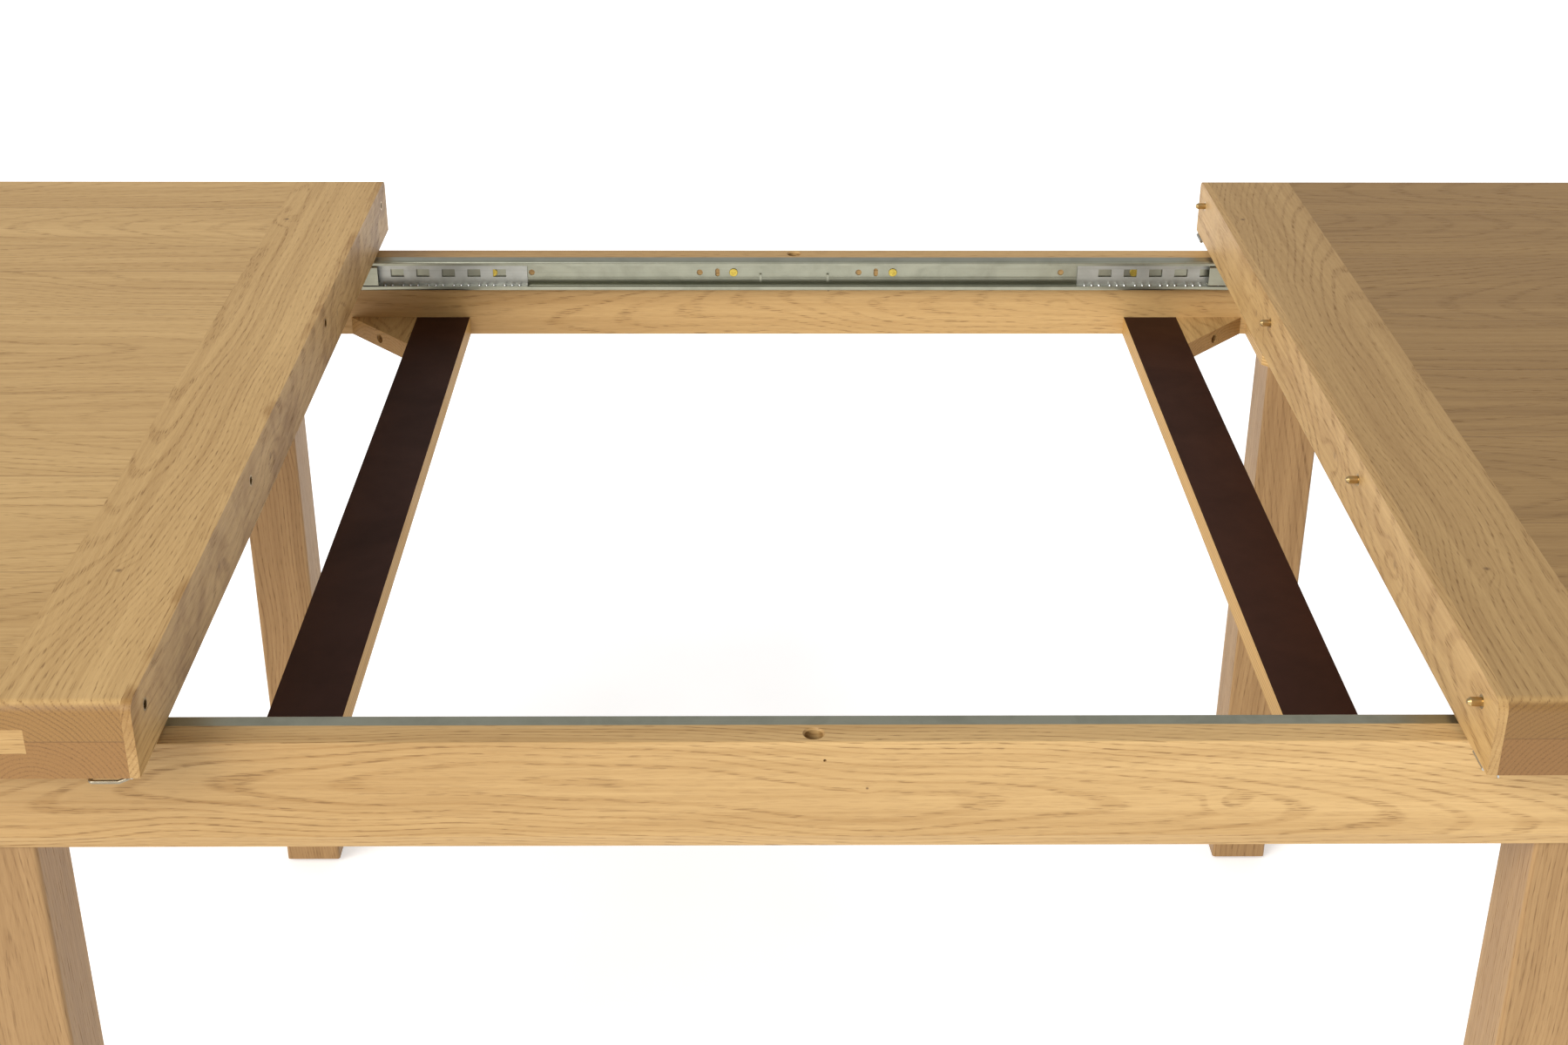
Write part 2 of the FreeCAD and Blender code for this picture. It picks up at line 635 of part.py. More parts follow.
def top_screws(half):
    """Screws that fix the hanger angles and stops under a half top."""
    screws = []
    for side in (FRONT, REAR):
        for step in range(6):
            x = half * (edge_x + ANGLE_START + ANGLE_SCREW_START + step * ANGLE_SCREW_PITCH)
            seat = (x, slide_y(side, SLIDE_THICKNESS + ANGLE_SCREW_FROM_SLIDE),
                    underside - ANGLE_SHEET)
            screws.append(screw(seat, (0, 0, 1), *ANGLE_SCREW))
        for shift in (-STOP_LENGTH / 4, STOP_LENGTH / 4):
            seat = (stop_centre(half) + shift, side * STOP_Y, underside - STOP_HEIGHT)
            screws.append(screw(seat, (0, 0, 1), *STOP_SCREW))
    return screws


def stop_centre(half):
    return rail_inner_x(half) - half * (STOP_GAP + STOP_LENGTH / 2)


def stop_block(half, side, fasteners):
    """Block under a half top that meets the end rail."""
    x = stop_centre(half)
    shape = box((x - STOP_LENGTH / 2, x + STOP_LENGTH / 2),
                (side * STOP_Y - STOP_WIDTH / 2, side * STOP_Y + STOP_WIDTH / 2),
                (underside - STOP_HEIGHT, underside))
    return cut_all(shape, fasteners)


# Catches

def knuckle_point(side, offset=0.0):
    return (-(edge_x + KNUCKLE_FROM_EDGE), side * (CATCH_Y + offset), underside - KNUCKLE_DROP)


def catch_screws(half):
    """Small screws that hold the catch plates of one half top."""
    screws = []
    for side in (FRONT, REAR):
        for shift in (-CATCH_SCREW_OFFSET, CATCH_SCREW_OFFSET):
            seat = (half * (edge_x + CATCH_SCREW_FROM_EDGE), side * (CATCH_Y + shift),
                    underside - CATCH_SHEET)
            screws.append(screw(seat, (0, 0, 1), *CATCH_SCREW))
    return screws


def catch_plate_width(side):
    return (side * (CATCH_Y - CATCH_PLATE_HALF_WIDTH), side * (CATCH_Y + CATCH_PLATE_HALF_WIDTH))


def catch_plate(side, fasteners):
    """Plate with a rolled knuckle that holds the wire bail."""
    plate = box((-(edge_x + CATCH_PLATE_START), -(edge_x + CATCH_PLATE_END)),
                catch_plate_width(side), (underside - CATCH_SHEET, underside))
    barrel = rod(KNUCKLE_RADIUS, knuckle_point(side, -KNUCKLE_HALF_WIDTH),
                 knuckle_point(side, KNUCKLE_HALF_WIDTH))
    bore = rod(WIRE_RADIUS + WIRE_CLEARANCE, knuckle_point(side, -CATCH_PLATE_HALF_WIDTH),
               knuckle_point(side, CATCH_PLATE_HALF_WIDTH))
    return cut_all(plate.fuse(barrel).removeSplitter().cut(bore), fasteners)


def rounded_loop(points, radius):
    """Closed wire through a loop of points, with an arc at each corner."""
    corners = [Vector(*point) for point in points]
    pairs = []
    for index, corner in enumerate(corners):
        back = (corners[index - 1] - corner).normalize()
        ahead = (corners[(index + 1) % len(corners)] - corner).normalize()
        half_angle = back.getAngle(ahead) / 2
        reach = radius / math.tan(half_angle)
        centre = corner + (back + ahead).normalize() * (radius / math.sin(half_angle))
        middle = centre + (corner - centre).normalize() * radius
        pairs.append((corner + back * reach, middle, corner + ahead * reach))
    edges = []
    for arc, following in zip(pairs, pairs[1:] + pairs[:1]):
        edges.append(Part.Arc(*arc).toShape())
        edges.append(Part.makeLine(arc[2], following[0]))
    return Part.Wire(edges)


def bail(side):
    """Closed loop of round wire that turns in the knuckle."""
    x, y, z = knuckle_point(side)
    near = y - BAIL_HALF_WIDTH
    far = y + BAIL_HALF_WIDTH
    low = z - BAIL_DROP
    route = [(x, near, z), (x - BAIL_CRANK, near, low), (x - BAIL_LENGTH, near, low),
             (x - BAIL_LENGTH, far, low), (x - BAIL_CRANK, far, low), (x, far, z)]
    path = rounded_loop(route, BAIL_CORNER)
    start = path.Edges[-1].Vertexes[0].Point
    section = Part.Wire(Part.makeCircle(WIRE_RADIUS, start, Vector(0, 1, 0)))
    return Part.Solid(Part.Shell(path.makePipe(section).Faces))


def keeper(side, fasteners):
    """Plate with a rolled lip and a hook for the bail. The rear lip shows past the edge."""
    start = edge_x + KEEPER_SETBACK[side]
    plate = box((start, edge_x + CATCH_PLATE_END), catch_plate_width(side),
                (underside - CATCH_SHEET, underside))
    lip_x = start - KEEPER_LIP_LEAD
    lip_z = underside - KEEPER_LIP_GAP - KEEPER_LIP_RADIUS
    lip = rod(KEEPER_LIP_RADIUS, (lip_x, side * (CATCH_Y - KEEPER_LIP_HALF_WIDTH), lip_z),
              (lip_x, side * (CATCH_Y + KEEPER_LIP_HALF_WIDTH), lip_z))
    profile = [(edge_x + reach, side * (CATCH_Y - HOOK_HALF_WIDTH), underside - drop)
               for reach, drop in HOOK_PROFILE]
    hook = prism(profile, Vector(0, side * 2 * HOOK_HALF_WIDTH, 0))
    return cut_all(plate.multiFuse([lip, hook]).removeSplitter(), fasteners)


def build_frame():
    """Everything that stands still."""
    screws_x = CHANNEL_SCREWS_X
    fixings = {side: [channel_screw(x, side) for x in screws_x] for side in (FRONT, REAR)}
    block_screws = [block_screw(half, side)[0] for half in (LEFT, RIGHT) for side in (FRONT, REAR)]
    points = [point for half in (LEFT, RIGHT) for side in (FRONT, REAR)
              for point in leg_bolt_points(half, side)]
    for side, side_name in SIDE_NAMES.items():
        save(side_name + "_apron", apron(side, fixings[side] + block_screws))
        save(side_name + "_slide_channel", slide_channel(side, fixings[side]))
    for half, half_name in HALF_NAMES.items():
        save(half_name + "_end_rail", end_rail(half))
        save(half_name + "_bearer", bearer(half, block_screws))
        save(half_name + "_glue_blocks", [glue_block(half, side) for side in (FRONT, REAR)])
        for side, side_name in SIDE_NAMES.items():
            save(side_name + "_" + half_name + "_leg", leg(half, side))
            save(side_name + "_" + half_name + "_corner_plate", corner_plate(half, side))
    corners = [(half, side) for half in (LEFT, RIGHT) for side in (FRONT, REAR)]
    save("foot_glides", [foot_glide(half, side) for half, side in corners])
    save("leg_bolts", [leg_bolt(x, y) for x, y in points])
    save("leg_washers", [leg_washer(x, y) for x, y in points])
    save("channel_screws", fixings[FRONT] + fixings[REAR])
    save("glue_block_screws", block_screws)


def build_half(half):
    """One half top with its slide members, stops and catches."""
    name = HALF_NAMES[half]
    screws = top_screws(half)
    small_screws = catch_screws(half)
    if half == LEFT:
        edge_pieces = [socket_bush(y) for y in PIN_Y]
        pockets = [hole for y in PIN_Y for hole in socket_holes(y)]
        save("socket_bushes", edge_pieces)
    else:
        edge_pieces = [locating_pin(y) for y in PIN_Y]
        pockets = edge_pieces
        save("locating_pins", edge_pieces)
    for board_name, board in top_boards(half, screws + small_screws + pockets).items():
        save(name + "_" + board_name, board)
    for side, side_name in SIDE_NAMES.items():
        tag = name + "_" + side_name
        save(tag + "_runner", runner(half, side))
        save(tag + "_hanger_angle", hanger_angle(half, side, screws))
        save(tag + "_ball_cage", ball_cage(half, side))
    sides = (FRONT, REAR)
    save(name + "_slide_balls", [ball for side in sides for ball in balls(half, side)])
    save(name + "_runner_rivets", [rivet for side in sides for rivet in runner_rivets(half, side)])
    save(name + "_top_screws", screws)
    save(name + "_stop_blocks", [stop_block(half, side, screws) for side in sides])
    save(name + "_catch_screws", small_screws)


def build_catches():
    """Catch plates and bails on the left half, keepers on the right."""
    left_screws = catch_screws(LEFT)
    right_screws = catch_screws(RIGHT)
    sides = (FRONT, REAR)
    save("catch_plates", [catch_plate(side, left_screws) for side in sides])
    save("keepers", [keeper(side, right_screws) for side in sides])
    for side, side_name in SIDE_NAMES.items():
        save(side_name + "_bail", bail(side))


build_frame()
build_half(LEFT)
build_half(RIGHT)
build_catches()
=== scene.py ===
import json
import math
import bpy
from mathutils import Matrix, Vector


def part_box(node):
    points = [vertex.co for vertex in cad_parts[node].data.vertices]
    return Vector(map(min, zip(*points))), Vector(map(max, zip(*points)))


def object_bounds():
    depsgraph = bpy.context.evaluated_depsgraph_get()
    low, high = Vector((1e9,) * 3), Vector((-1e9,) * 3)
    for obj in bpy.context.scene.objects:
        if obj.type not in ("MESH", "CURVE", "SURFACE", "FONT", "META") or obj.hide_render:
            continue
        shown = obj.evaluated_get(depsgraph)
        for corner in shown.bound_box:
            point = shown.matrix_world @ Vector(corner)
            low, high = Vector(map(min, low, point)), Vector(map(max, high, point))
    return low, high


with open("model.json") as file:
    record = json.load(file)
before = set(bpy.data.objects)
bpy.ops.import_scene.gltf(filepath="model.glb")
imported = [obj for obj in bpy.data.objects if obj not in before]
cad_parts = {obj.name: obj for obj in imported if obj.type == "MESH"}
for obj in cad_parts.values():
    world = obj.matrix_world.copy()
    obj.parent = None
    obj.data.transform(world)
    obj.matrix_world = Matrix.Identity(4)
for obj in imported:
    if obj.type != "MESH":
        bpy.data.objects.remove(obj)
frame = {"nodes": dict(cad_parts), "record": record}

cad_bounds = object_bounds()
nodes = frame["nodes"]


# Node helpers

class Graph:
    """Short calls for building one material's node tree."""

    def __init__(self, name):
        self.material = bpy.data.materials.new(name)
        self.material.use_nodes = True
        self.tree = self.material.node_tree
        self.shader = self.tree.nodes["Principled BSDF"]

    def node(self, kind, **settings):
        made = self.tree.nodes.new(kind)
        for key, value in settings.items():
            setattr(made, key, value)
        return made

    def feed(self, socket, value):
        """Link a socket to another, or set it to a constant."""
        if isinstance(value, bpy.types.NodeSocket):
            self.tree.links.new(value, socket)
        else:
            socket.default_value = value

    def set(self, socket, value):
        """Link or set one input of the shader."""
        self.feed(self.shader.inputs[socket], value)

    def position(self):
        """Place on the piece in metres, in the CAD frame."""
        return self.node("ShaderNodeTexCoord").outputs["Object"]

    def normal(self):
        return self.node("ShaderNodeNewGeometry").outputs["Normal"]

    def split(self, vector):
        made = self.node("ShaderNodeSeparateXYZ")
        self.feed(made.inputs[0], vector)
        return made.outputs

    def join(self, parts):
        made = self.node("ShaderNodeCombineXYZ")
        for socket, value in zip(made.inputs, parts):
            self.feed(socket, value)
        return made.outputs[0]

    def stretch(self, parts, factors):
        """Vector of three values, each times its own factor."""
        return self.join([self.times(part, factor) for part, factor in zip(parts, factors)])

    def math(self, operation, first, second=0.0, third=0.0):
        made = self.node("ShaderNodeMath", operation=operation)
        for socket, value in zip(made.inputs, (first, second, third)):
            self.feed(socket, value)
        return made.outputs[0]

    def plus(self, first, second):
        return self.math("ADD", first, second)

    def minus(self, first, second):
        return self.math("SUBTRACT", first, second)

    def times(self, first, second):
        return self.math("MULTIPLY", first, second)

    def add_share(self, total, value, share):
        """Total plus a share of a value."""
        return self.math("MULTIPLY_ADD", value, share, total)

    def gap(self, first, second):
        """Distance between two values."""
        return self.math("ABSOLUTE", self.minus(first, second))

    def length(self, parts):
        """Length of a vector given by its parts."""
        total = self.times(parts[0], parts[0])
        for part in parts[1:]:
            total = self.plus(total, self.times(part, part))
        return self.math("SQRT", total)

    def ramp(self, value, low, high, start=0.0, end=1.0):
        """Smooth step of a value between two limits."""
        made = self.node("ShaderNodeMapRange", interpolation_type="SMOOTHSTEP")
        for socket, setting in zip(made.inputs[:5], (value, low, high, start, end)):
            self.feed(socket, setting)
        return made.outputs[0]

    def noise(self, vector, scale, detail=3.0, roughness=0.55, distortion=0.0, seed=0.0):
        made = self.node("ShaderNodeTexNoise", noise_dimensions="4D")
        self.feed(made.inputs["Vector"], vector)
        made.inputs["W"].default_value = seed
        made.inputs["Scale"].default_value = scale
        made.inputs["Detail"].default_value = detail
        made.inputs["Roughness"].default_value = roughness
        made.inputs["Distortion"].default_value = distortion
        return made.outputs[0]

    def mix(self, amount, first, second):
        """Mix of two colours, through the node's colour sockets."""
        made = self.node("ShaderNodeMix", data_type="RGBA")
        self.feed(made.inputs[0], amount)
        self.feed(made.inputs[6], first)
        self.feed(made.inputs[7], second)
        return made.outputs[2]

    def bump(self, height, strength, distance):
        made = self.node("ShaderNodeBump")
        made.inputs["Strength"].default_value = strength
        made.inputs["Distance"].default_value = distance
        self.feed(made.inputs["Height"], height)
        self.set("Normal", made.outputs[0])


def rgb(red, green, blue):
    """Linear colour from 0 to 255 display values."""
    def linear(value):
        value = value / 255
        return value / 12.92 if value <= 0.04045 else ((value + 0.055) / 1.055) ** 2.4
    return (linear(red), linear(green), linear(blue), 1.0)


def blend(first, second, part):
    """Colour part of the way from one to another."""
    return tuple(a + (b - a) * part for a, b in zip(first, second))


# Wood. Lengths in metres.

TOP_MIDDLE = (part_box("left_field_panel")[0][2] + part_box("left_field_panel")[1][2]) / 2
OAK_LIGHT = rgb(204, 168, 112)
OAK_DARK = rgb(150, 112, 62)
OAK_LINE = rgb(100, 70, 40)
OAK_WARM = rgb(142, 98, 58)
OAK_KNOT = rgb(74, 46, 26)
# Right half's oak, darker than the left: mostly painted shade for the right top, which gets less
# light, the rest its own tone
RIGHT_SHADED_LIGHT = rgb(160, 127, 78)
RIGHT_SHADED_DARK = rgb(114, 83, 44)
# Legs' oak, darker than the top: partly their own tone, partly painted shade for the shaded sides
# of the legs
LEG_SHADED_LIGHT = rgb(174, 139, 93)
LEG_SHADED_DARK = rgb(126, 92, 53)
OAK_ROUGHNESS = 0.42
OAK_GLOSS = 0.32

# How fast each noise changes along the grain and across it, per metre
WANDER_RATE = 1.6
WAVE_RATE = 2.3
RIPPLE_RATES = (7.0, 30.0)
FIBRE_RATES = (5.0, 330.0)
STRAND_RATES = (2.2, 85.0)
PORE_RATES = (75.0, 1100.0)
DRIFT_RATES = (1.1, 9.0)
BLOTCH_RATE = 16.0
SPECK_RATE = 1700.0

# Growth rings: how the heart moves about and how strong each year shows
RING_WIDTH = 0.0031
PLANK_SHIFT = 9.0
HEART_SWAY = 0.10
HEART_WANDER = 0.16
HEART_WAVE = 0.03
RIPPLE_RINGS = 1.3
SEASON_RATES = (0.37, 1.5)
SEASON_FLOOR = 0.25
RING_LIMITS = (0.25, 1.0)
SEASON_LIMITS = (0.25, 0.70)

# Knots: how far they push the rings and how wide the dark core is, in knot sizes,
# and how distance along the grain counts beside distance across it
KNOT_REACH = 4.5
KNOT_SWELL = 1.3
KNOT_CORE = 0.15
KNOT_EDGE = 1.15
KNOT_ALONG = 0.45

# Limits between which each noise fades in
FIBRE_LIMITS = (0.30, 0.72)
DRIFT_LIMITS = (0.25, 0.75)
PORE_LIMITS = (0.52, 0.64)
BLOTCH_LIMITS = (0.42, 0.68)
SPECK_LIMITS = (0.50, 0.66)
END_LIMITS = (0.45, 0.85)

# Share of each feature in the wood's colour
RING_SHARE = 0.42
FIBRE_SHARE = 0.22
STRAND_SHARE = 0.26
DRIFT_SHARE = 0.24
PORE_SHARE = 0.60
PORE_OUTSIDE_RINGS = 0.20
GLUE_SHARE = 0.55
SPECK_SHARE = 0.50
END_RING_SHARE = 0.45
LOWER_LAYER_SHARE = 0.28

# Glue lines, the change of grain at a layer, and the span over which a board
# goes from darker at its low end to lighter at its high end
GLUE_HALF_WIDTH = 0.0001
PLANK_GLUE_FADE = 0.0007
LAYER_GLUE_FADE = 0.0006
LAYER_SEED_STEP = 5.0
FADE_HALF_SPAN = 0.6

# Share of each feature in the wood's roughness, and the strength and depth of its relief
FIBRE_ROUGHENS = 0.12
PORE_ROUGHENS = 0.25
RING_SINKS = 0.3
OAK_RELIEF = (0.25, 0.0004)


def plank_steps(g, across, joints):
    """Number of the plank, place across it, and a mask of the glue lines."""
    index = 0.0
    local = g.minus(across, joints[0])
    line = 0.0
    for before, place in zip(joints, joints[1:-1]):
        step = g.math("GREATER_THAN", across, place)
        index = g.plus(step, index)
        local = g.add_share(local, step, before - place)
        glue = g.ramp(g.gap(across, place), GLUE_HALF_WIDTH, PLANK_GLUE_FADE, 1.0, 0.0)
        line = g.math("MAXIMUM", glue, line)
    return index, local, line


def knot_offset(g, parts, place):
    return [g.minus(parts[axis], value) for axis, value in zip("XYZ", place)]


def swell_round_knots(g, reach, parts, grain, knots):
    """Push the rings outwards round each knot, further along the grain than across it."""
    factors = [KNOT_ALONG if axis == grain else 1.0 for axis in "XYZ"]
    for place, size, _ in knots:
        offset = knot_offset(g, parts, place)
        far = g.length([g.times(part, factor) for part, factor in zip(offset, factors)])
        reach = g.plus(reach, g.ramp(far, 0.0, size * KNOT_REACH, size * KNOT_SWELL, 0.0))
    return reach


def oak(name, axes, seed, joints, middle, light=OAK_LIGHT, dark=OAK_DARK, *, figure, tone, heart,
        layer=None, knots=(), mottle=0.0, fade=0.0, end_shade=0.85):
    """Solid oak for one board or panel.

    axes names the grain, width and thickness directions in that order. joints are the
    edges of its planks. middle and heart place the centre of the rings. figure is how
    strongly rings show, tone how much planks differ, and layer the height of a glued
    joint. mottle adds dark blotches, and set high it is also painted shade on a shaded
    face. fade darkens the low end and lightens the high end, and end_shade is how much
    of the end grain's colour shows.
    """
    g = Graph(name)
    parts = dict(zip("XYZ", g.split(g.position())))
    along, across, through = (parts[axis] for axis in axes)
    index, local, line = plank_steps(g, across, joints)
    if layer is not None:
        upper = g.math("GREATER_THAN", through, layer)
        index = g.add_share(index, upper, LAYER_SEED_STEP)
        glue = g.ramp(g.gap(through, layer), GLUE_HALF_WIDTH, LAYER_GLUE_FADE, 1.0, 0.0)
        line = g.math("MAXIMUM", glue, line)
    dice = g.node("ShaderNodeTexWhiteNoise", noise_dimensions="1D")
    g.feed(dice.inputs["W"], g.plus(index, seed))
    first, second, third = g.split(dice.outputs["Color"])
    shifted = g.add_share(along, first, PLANK_SHIFT)

    def grain(rates, detail, roughness, step):
        """Noise drawn out along the grain."""
        point = g.stretch((shifted, across, through), (rates[0], rates[1], rates[1]))
        return g.noise(point, 1.0, detail, roughness, seed=seed + step)

    # Growth rings about a heart that wanders along the board
    wander = g.noise(g.join((g.times(shifted, WANDER_RATE), index, seed)), 1.0, 2.0, seed=seed)
    half_width = (joints[1] - joints[0]) / 2
    side = g.add_share(g.minus(local, half_width), g.minus(second, 0.5), HEART_SWAY)
    side = g.add_share(side, g.minus(wander, 0.5), HEART_WANDER)
    depth = g.plus(g.minus(through, middle), heart)
    depth = g.add_share(depth, g.minus(third, 0.5), heart)
    depth = g.add_share(depth, g.math("SINE", g.times(shifted, WAVE_RATE)), HEART_WAVE)
    reach = swell_round_knots(g, g.length([side, depth]), parts, axes[0], knots)
    ripple = grain(RIPPLE_RATES, 2.0, 0.55, 1)
    phase = g.add_share(g.times(reach, 1 / RING_WIDTH), ripple, RIPPLE_RINGS)
    ring = g.math("SINE", g.times(phase, 2 * math.pi))
    years = g.join((g.times(phase, SEASON_RATES[0]), g.times(shifted, SEASON_RATES[1]), 0.0))
    season = g.noise(years, 1.0, 2.0, seed=seed + 6)
    early = g.times(g.ramp(ring, *RING_LIMITS), g.ramp(season, *SEASON_LIMITS, SEASON_FLOOR, 1.0))

    # Fibres, pores and slow drift of colour
    fibre = grain(FIBRE_RATES, 3.0, 0.6, 2)
    strand = grain(STRAND_RATES, 3.0, 0.6, 3)
    pore = g.ramp(grain(PORE_RATES, 1.0, 0.55, 4), *PORE_LIMITS)
    pore = g.times(pore, g.add_share(PORE_OUTSIDE_RINGS, early, 1.0 - PORE_OUTSIDE_RINGS))
    drift = grain(DRIFT_RATES, 3.0, 0.55, 5)

    amount = g.times(early, RING_SHARE * figure)
    amount = g.add_share(amount, g.ramp(fibre, *FIBRE_LIMITS), FIBRE_SHARE)
    amount = g.add_share(amount, g.ramp(strand, *FIBRE_LIMITS), STRAND_SHARE)
    amount = g.add_share(amount, g.ramp(drift, *DRIFT_LIMITS), DRIFT_SHARE)
    amount = g.add_share(amount, g.minus(third, 0.5), 2.0 * tone)
    amount = g.plus(g.ramp(along, -FADE_HALF_SPAN, FADE_HALF_SPAN, fade, -fade), amount)
    if mottle:
        blotch = g.noise(g.position(), BLOTCH_RATE, 3.0, 0.6, 0.8, seed=seed + 7)
        amount = g.add_share(amount, g.ramp(blotch, *BLOTCH_LIMITS), mottle)
    colour = g.mix(amount, light, dark)

    # End grain, on faces that look along the grain
    facing = dict(zip("XYZ", g.split(g.normal())))[axes[0]]
    end = g.ramp(g.math("ABSOLUTE", facing), *END_LIMITS)
    speck = g.ramp(g.noise(g.position(), SPECK_RATE, 2.0, seed=seed), *SPECK_LIMITS)
    end_colour = g.mix(g.times(speck, SPECK_SHARE), dark, OAK_LINE)
    end_colour = g.mix(g.times(early, END_RING_SHARE), end_colour, OAK_LINE)
    colour = g.mix(g.times(end, end_shade), colour, end_colour)

    if layer is not None:
        lower = g.times(g.minus(1.0, upper), LOWER_LAYER_SHARE)
        colour = g.mix(lower, colour, OAK_WARM)
    colour = g.mix(g.times(pore, PORE_SHARE), colour, OAK_LINE)
    colour = g.mix(g.times(line, GLUE_SHARE), colour, OAK_LINE)
    for place, size, darkness in knots:
        far = g.length(knot_offset(g, parts, place))
        core = g.ramp(far, size * KNOT_CORE, size * KNOT_EDGE, darkness, 0.0)
        colour = g.mix(core, colour, OAK_KNOT)
    g.set("Base Color", colour)
    rough = g.add_share(OAK_ROUGHNESS, fibre, FIBRE_ROUGHENS)
    g.set("Roughness", g.add_share(rough, pore, PORE_ROUGHENS))
    g.set("Specular IOR Level", OAK_GLOSS)
    relief = g.add_share(g.times(pore, -1.0), early, -RING_SINKS)
    g.bump(g.add_share(relief, line, -1.0), *OAK_RELIEF)
    return g.material


PLY_THICKNESS = 0.0015
PLY_STREAK_RATES = (60.0, 7.0, 900.0)
PLY_FACE_LIMITS = (0.6, 0.8)
VENEER_LIMITS = (0.20, 0.27)
VENEER_SHARE = 0.55
PLY_STREAK_SHARE = 0.35
FILM_STAIN = rgb(30, 14, 8)
FILM_STAIN_SHARE = 0.5
FILM_ROUGHNESS = 0.42
FILM_GLOSS = 0.12
FILM_MESH_RATE = 900.0
FILM_RELIEF = (0.10, 0.0003)


def plywood(name, face, bare):
    """Plywood: a face colour above and below, veneers seen in the edges."""
    g = Graph(name)
    point = g.position()
    parts = g.split(point)
    flat = g.ramp(g.math("ABSOLUTE", g.split(g.normal())[2]), *PLY_FACE_LIMITS)
    level = g.math("FRACT", g.times(parts[2], 0.5 / PLY_THICKNESS))
    veneer = g.ramp(g.gap(level, 0.5), *VENEER_LIMITS)
    streak = g.noise(g.stretch(parts, PLY_STREAK_RATES), 1.0, 3.0, seed=3.0)
    edge = g.mix(g.times(veneer, VENEER_SHARE), bare, OAK_DARK)
    edge = g.mix(g.times(g.ramp(streak, 0.3, 0.8), PLY_STREAK_SHARE), edge, OAK_LINE)
    mottle = g.noise(point, 14.0, 5.0, 0.6, 0.4, seed=6.0)
    tint = g.mix(g.times(g.ramp(mottle, 0.3, 0.75), FILM_STAIN_SHARE), face, FILM_STAIN)
    g.set("Base Color", g.mix(flat, edge, tint))
    g.set("Roughness", g.add_share(FILM_ROUGHNESS, mottle, 0.25))
    g.set("Specular IOR Level", FILM_GLOSS)
    g.bump(g.noise(point, FILM_MESH_RATE, 2.0, seed=8.0), *FILM_RELIEF)
    return g.material


# Metal and plastic

# Noise rates per metre, shares of the stain and of the roughness, strength and depth of relief
STREAK_ALONG = 3.0
STREAK_ACROSS = 420.0
CLOUD_RATE = 38.0
SCRATCH_FINER = 3
CLOUD_SHARE = 0.45
STREAK_SHARE = 0.30
STREAK_ROUGHENS = 0.16
CLOUD_ROUGHENS = 0.12
METAL_RELIEF = (0.05, 0.0001)
PLASTIC_RELIEF = (0.12, 0.0003)
PLASTIC_GRAIN_RATE = 1500.0
SCUFF_RATE = 60.0


def sheet_metal(name, base, stain, roughness, along, scale):
    """Plated metal with rolling streaks, cloudy plating and fine scratches."""
    g = Graph(name)
    point = g.position()
    parts = g.split(point)
    rates = [(STREAK_ALONG if axis == along else STREAK_ACROSS) * scale for axis in "XYZ"]
    streak = g.noise(g.stretch(parts, rates), 1.0, 3.0, 0.6, seed=1.0)
    cloud = g.noise(point, CLOUD_RATE * scale, 5.0, 0.6, 0.5, seed=2.0)
    scratch = g.noise(g.stretch(parts, [rate * SCRATCH_FINER for rate in rates]), 1.0, 1.0,
                      seed=4.0)
    colour = g.mix(g.times(g.ramp(cloud, 0.35, 0.75), CLOUD_SHARE), base, stain)
    colour = g.mix(g.times(g.ramp(streak, 0.45, 0.8), STREAK_SHARE), colour, stain)
    g.set("Base Color", colour)
    g.set("Metallic", 1.0)
    rough = g.add_share(roughness - 0.06, streak, STREAK_ROUGHENS)
    g.set("Roughness", g.add_share(rough, cloud, CLOUD_ROUGHENS))
    g.bump(g.add_share(streak, scratch, 0.4), *METAL_RELIEF)
    return g.material


def moulded(name, colour):
    """Moulded plastic with a fine grain and faint scuffs."""
    g = Graph(name)
    point = g.position()
    scuff = g.noise(point, SCUFF_RATE, 6.0, 0.65, seed=2.0)
    worn = tuple(0.7 * value for value in colour[:3]) + (1.0,)
    g.set("Base Color", g.mix(g.times(g.ramp(scuff, 0.5, 0.8), 0.4), colour, worn))
    g.set("Roughness", g.add_share(0.4, scuff, 0.2))
    g.bump(g.noise(point, PLASTIC_GRAIN_RATE, 2.0, seed=1.0), *PLASTIC_RELIEF)
    return g.material


# Which material each node takes. Each knot is its place by fractions of the
# node's box, its size and its darkness.

TOP_SEEDS = {"left": 3.0, "right": 17.0}
APRON_SEED = 31.0
RAIL_SEED = 41.0
LEG_SEED = 51.0
BLOCK_SEED = 71.0
FIELD_JOINTS = {
    "left": (-0.5, -0.332, -0.185, -0.034, 0.133, 0.238, 0.304, 0.413, 0.5),
    "right": (-0.5, -0.385, -0.262, -0.118, 0.012, 0.118, 0.272, 0.395, 0.5),
}
# The right half's colours hold painted shade; its cross and end boards blend in half of that shade
FIELD_COLOURS = {"left": (OAK_LIGHT, OAK_DARK), "right": (RIGHT_SHADED_LIGHT, RIGHT_SHADED_DARK)}
